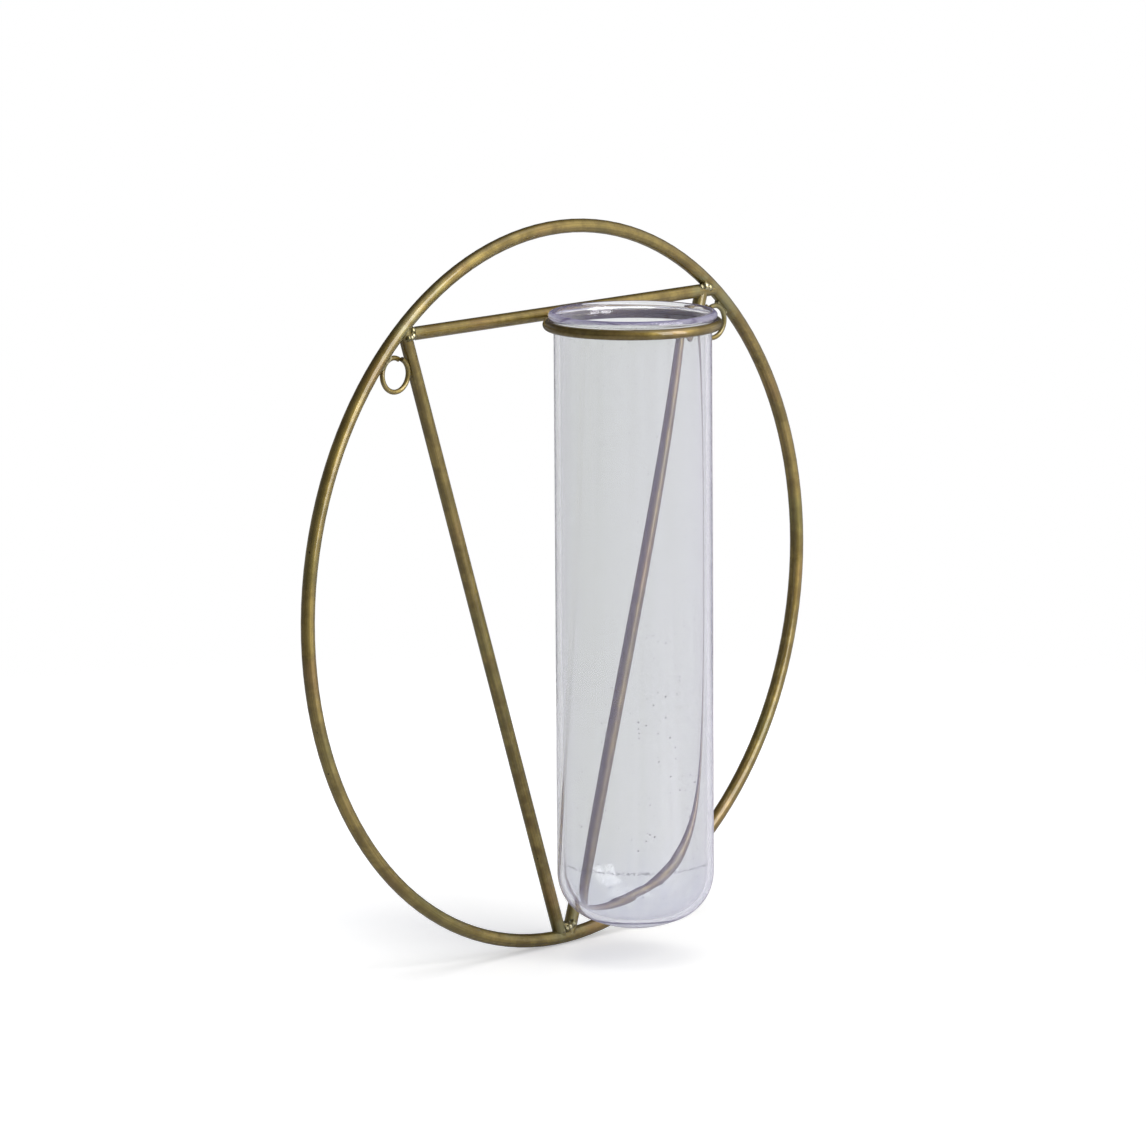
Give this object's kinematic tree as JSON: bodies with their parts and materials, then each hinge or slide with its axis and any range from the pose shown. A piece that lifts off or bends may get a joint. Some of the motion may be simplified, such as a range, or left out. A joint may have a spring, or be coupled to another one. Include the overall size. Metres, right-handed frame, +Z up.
{
  "type": "hanging wall vase",
  "caption": "Hanging wall vase: a round brass wire hoop with a crossbar and a V of rods, and a wire collar in front that holds a lipped glass tube.",
  "frame": {"origin": "on the wall behind the centre of the hoop", "axes": "+Z up along the glass tube, out of its mouth; +Y into the wall; +X to the viewer's right as the vase is seen on the wall"},
  "size_m": [0.2344, 0.0612, 0.2344],
  "materials": {
    "aged_brass": "antique satin",
    "braze": "bright filler metal, partly patinated",
    "clear_glass": "polished"
  },
  "bodies": {
    "frame": {"hoop": "aged_brass", "crossbar": "aged_brass", "left_leg": "aged_brass", "right_leg": "aged_brass", "collar": "aged_brass", "left_eyelet": "aged_brass", "right_eyelet": "aged_brass", "left_joint_braze": "braze", "right_joint_braze": "braze", "foot_braze": "braze", "collar_braze": "braze", "left_eyelet_braze": "braze", "right_eyelet_braze": "braze"},
    "tube": {"glass_tube": "clear_glass"}
  },
  "joints": [
    {"name": "tube_lift", "type": "slide", "parent": "frame", "child": "tube", "axis": [0, 0, 1], "range_m": [0, 0.205]}
  ]
}
